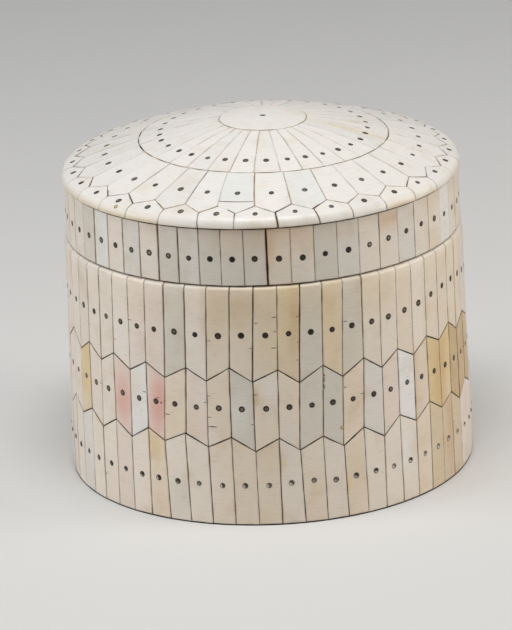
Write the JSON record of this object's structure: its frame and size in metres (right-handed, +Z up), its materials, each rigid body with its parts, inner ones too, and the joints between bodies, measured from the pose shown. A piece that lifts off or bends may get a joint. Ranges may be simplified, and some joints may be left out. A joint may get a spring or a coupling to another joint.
{
  "type": "veneered wooden box",
  "caption": "Round lidded wooden box veneered with pinned bone plaques, in upright strips with zigzag joints and a shallow domed lid.",
  "frame": {"origin": "middle of the flat underside, on the surface that the box stands on", "axes": "+Z up along the axis of the round box, -Y towards the front of the picture"},
  "size_m": [0.1632, 0.163, 0.1431],
  "materials": {
    "bone": "polished bone, cream to cool grey, satin",
    "wood": "old brown wood, waxed",
    "pins": "tarnished metal pins, filed flush",
    "joint_filler": "dark wax and dirt in the joints, matt"
  },
  "bodies": {
    "root": {"box_carcase": "wood", "lower_bone_strips": "bone", "middle_bone_strips": "bone", "upper_bone_strips": "bone", "lid_carcase": "wood", "lid_side_bone_strips": "bone", "lid_rim_bone_plaques": "bone", "lid_outer_bone_plaques": "bone", "lid_inner_bone_plaques": "bone", "lid_centre_bone_disc": "bone"}
  },
  "joints": []
}
